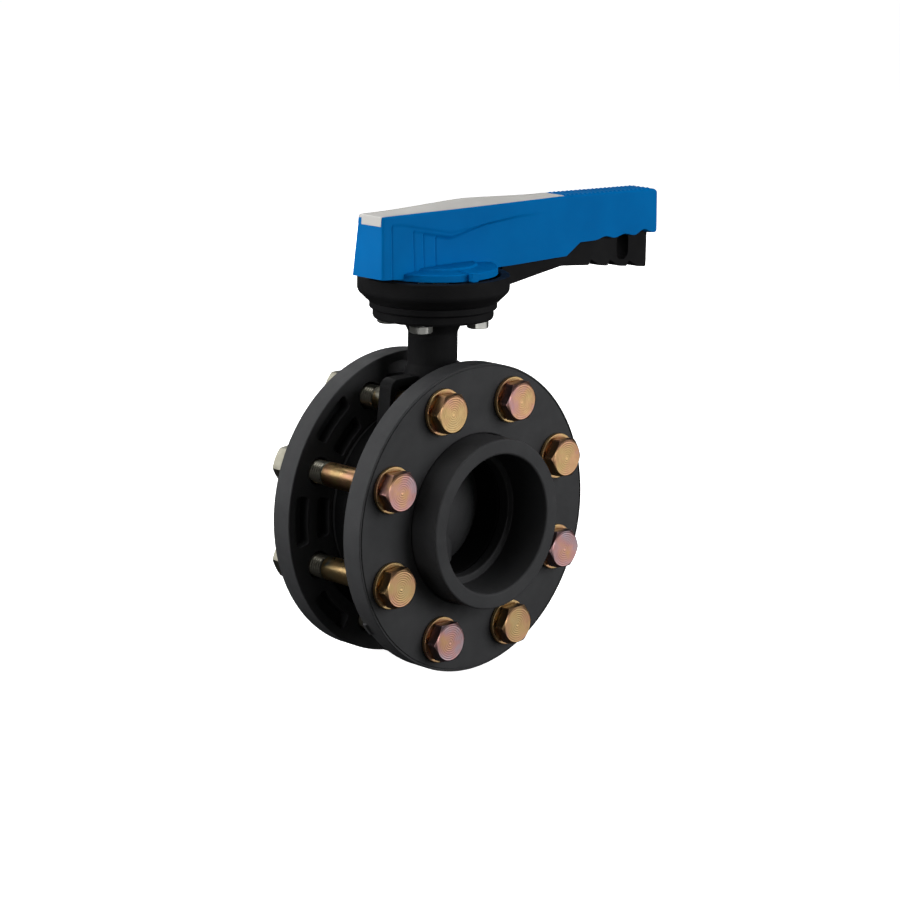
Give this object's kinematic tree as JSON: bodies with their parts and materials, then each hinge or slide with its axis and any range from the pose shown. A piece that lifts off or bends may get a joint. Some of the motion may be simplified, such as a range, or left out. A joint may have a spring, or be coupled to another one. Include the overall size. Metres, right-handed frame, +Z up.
{
  "type": "butterfly valve",
  "caption": "Plastic wafer butterfly valve clamped between loose flange rings with hex bolts, turned by a latching hand lever with a squeeze trigger.",
  "frame": {"origin": "where the pipe axis crosses the stem axis, at the middle of the disc", "axes": "+Y along the pipe towards the nut side, +Z up the stem, +X along the lever when the valve is shut"},
  "size_m": [0.3015, 0.1227, 0.2993],
  "materials": {
    "grey_pvc": "satin moulded dark grey",
    "black_plastic": "fine-textured black",
    "rubber": "matt black",
    "blue_plastic": "satin moulded blue",
    "pale_plastic": "satin pale warm grey",
    "zinc_steel": "yellow zinc plating with a pink and green sheen",
    "stainless": "satin steel",
    "bearing_plastic": "matt off-white"
  },
  "bodies": {
    "valve": {"front_backing_ring": "grey_pvc", "rear_backing_ring": "grey_pvc", "front_stub_end": "grey_pvc", "rear_stub_end": "grey_pvc", "valve_body": "black_plastic", "seat_liner": "rubber", "upper_stem_bush": "bearing_plastic", "lower_stem_bush": "bearing_plastic", "bottom_plug": "black_plastic", "throttle_plate": "black_plastic", "throttle_bolt_1": "stainless", "throttle_bolt_2": "stainless", "throttle_bolt_3": "stainless", "throttle_bolt_4": "stainless", "flange_bolt_1": "zinc_steel", "flange_bolt_2": "zinc_steel", "flange_bolt_3": "zinc_steel", "flange_bolt_4": "zinc_steel", "flange_bolt_5": "zinc_steel", "flange_bolt_6": "zinc_steel", "flange_bolt_7": "zinc_steel", "flange_bolt_8": "zinc_steel", "flange_nut_1": "zinc_steel", "flange_nut_2": "zinc_steel", "flange_nut_3": "zinc_steel", "flange_nut_4": "zinc_steel", "flange_nut_5": "zinc_steel", "flange_nut_6": "zinc_steel", "flange_nut_7": "zinc_steel", "flange_nut_8": "zinc_steel", "head_washer_1": "zinc_steel", "head_washer_2": "zinc_steel", "head_washer_3": "zinc_steel", "head_washer_4": "zinc_steel", "head_washer_5": "zinc_steel", "head_washer_6": "zinc_steel", "head_washer_7": "zinc_steel", "head_washer_8": "zinc_steel", "nut_washer_1": "zinc_steel", "nut_washer_2": "zinc_steel", "nut_washer_3": "zinc_steel", "nut_washer_4": "zinc_steel", "nut_washer_5": "zinc_steel", "nut_washer_6": "zinc_steel", "nut_washer_7": "zinc_steel", "nut_washer_8": "zinc_steel"},
    "lever": {"lever_body": "blue_plastic", "lever_inlay": "pale_plastic", "lever_screw": "stainless", "lever_screw_washer": "stainless", "trigger_pin": "stainless", "trigger_spring": "stainless", "valve_stem": "stainless", "valve_disc": "grey_pvc", "stem_retainer": "stainless", "stem_o_ring_1": "rubber", "stem_o_ring_2": "rubber"},
    "trigger": {"trigger": "black_plastic"}
  },
  "joints": [
    {"name": "lever_turn", "type": "hinge", "parent": "valve", "child": "lever", "pos_m": [0, 0, 0], "axis": [0, 0, 1], "range_deg": [0, 90]},
    {"name": "trigger_squeeze", "type": "hinge", "parent": "lever", "child": "trigger", "pos_m": [0.08, 0, 0.1715], "axis": [0, -1, 0], "range_deg": [0, 7.5], "stiffness_Nm_per_rad": 1.2, "springref_deg": -20.05, "deforming": ["trigger_spring"]}
  ]
}
